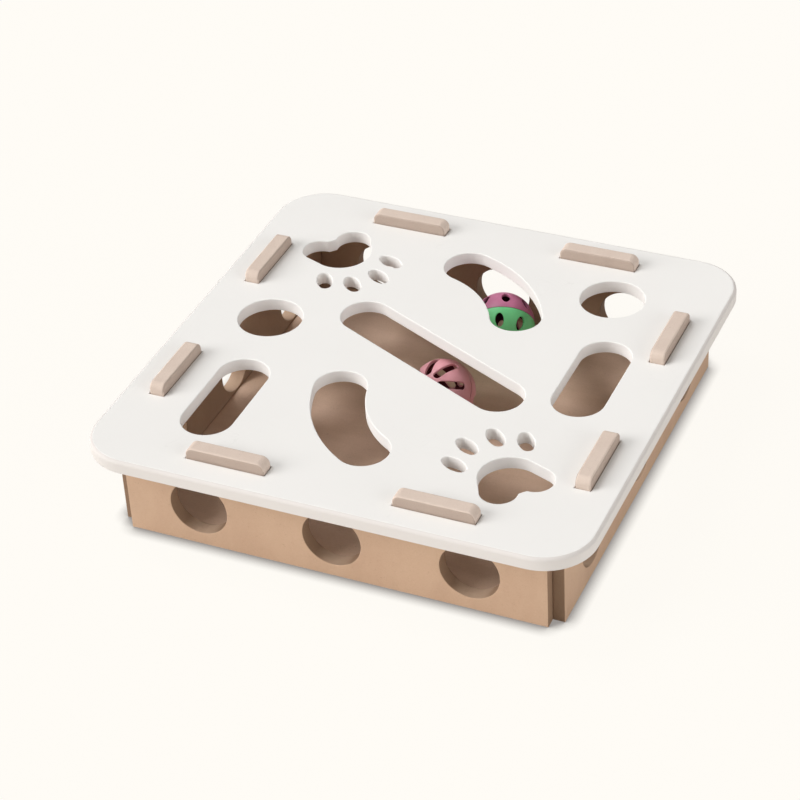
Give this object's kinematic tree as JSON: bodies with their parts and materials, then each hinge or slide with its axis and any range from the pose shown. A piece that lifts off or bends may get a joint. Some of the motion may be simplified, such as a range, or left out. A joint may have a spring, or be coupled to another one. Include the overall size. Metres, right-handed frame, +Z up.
{
  "type": "cat puzzle feeder",
  "caption": "Square cat puzzle feeder: a low walled box with round side holes, a lift-off lid with paw-reach slots and paw-print cut-outs, and hollow rattle balls inside.",
  "frame": {"origin": "on the ground under the middle of the box", "axes": "+Z up, -Y towards the front wall, which is the long side at the front of the picture; +X right"},
  "size_m": [0.3, 0.3, 0.0667],
  "materials": {
    "lid_board": "matt white lacquer on fibreboard",
    "wall_board": "bare fibreboard, fine cut edges",
    "floor_board": "bare fibreboard, smooth",
    "mauve_plastic": "moulded, satin gloss",
    "green_plastic": "moulded, satin gloss",
    "pink_plastic": "moulded, satin gloss",
    "bell_metal": "nickel plate, pressed sheet"
  },
  "bodies": {
    "box": {"front_wall": "wall_board", "right_wall": "wall_board", "back_wall": "wall_board", "left_wall": "wall_board", "floor_panel": "floor_board"},
    "lid": {"lid_panel": "lid_board"},
    "window_bell": {"window_ball_bell_crown": "bell_metal", "window_ball_bell_cup": "bell_metal"},
    "window_ball": {"window_ball_upper_shell": "mauve_plastic", "window_ball_lower_shell": "green_plastic"},
    "window_pellet": {"window_ball_bell_pellet": "bell_metal"},
    "slit_bell": {"slit_ball_bell_crown": "bell_metal", "slit_ball_bell_cup": "bell_metal"},
    "slit_ball": {"slit_ball_upper_shell": "pink_plastic", "slit_ball_lower_shell": "pink_plastic"},
    "slit_pellet": {"slit_ball_bell_pellet": "bell_metal"}
  },
  "joints": [
    {"name": "lid_lift", "type": "slide", "parent": "box", "child": "lid", "axis": [0, 0, 1], "range_m": [0, 0.06]},
    {"name": "window_ball_travel", "type": "slide", "parent": "box", "child": "window_bell", "axis": [1, 0, 0], "range_m": [-0.1175, 0.0915]},
    {"name": "window_ball_roll", "type": "hinge", "parent": "window_bell", "child": "window_ball", "pos_m": [0.013, 0.092, 0.02655], "axis": [0, 1, 0], "range_deg": [-349.8, 272.4]},
    {"name": "window_pellet_swing", "type": "hinge", "parent": "window_bell", "child": "window_pellet", "pos_m": [0.013, 0.092, 0.0159], "axis": [0, 1, 0], "continuous": true},
    {"name": "slit_ball_travel", "type": "slide", "parent": "box", "child": "slit_bell", "axis": [1, 0, 0], "range_m": [-0.11, 0.099]},
    {"name": "slit_ball_roll", "type": "hinge", "parent": "slit_bell", "child": "slit_ball", "pos_m": [0.0054, 0.0144, 0.02655], "axis": [0, 1, 0], "range_deg": [-327.5, 294.7]},
    {"name": "slit_pellet_swing", "type": "hinge", "parent": "slit_bell", "child": "slit_pellet", "pos_m": [0.0054, 0.0144, 0.0159], "axis": [0, 1, 0], "continuous": true}
  ],
  "couplings": [
    {"joint": "window_ball_roll", "follows": "window_ball_travel", "rad_per_m": 51.948},
    {"joint": "slit_ball_roll", "follows": "slit_ball_travel", "rad_per_m": 51.948}
  ]
}
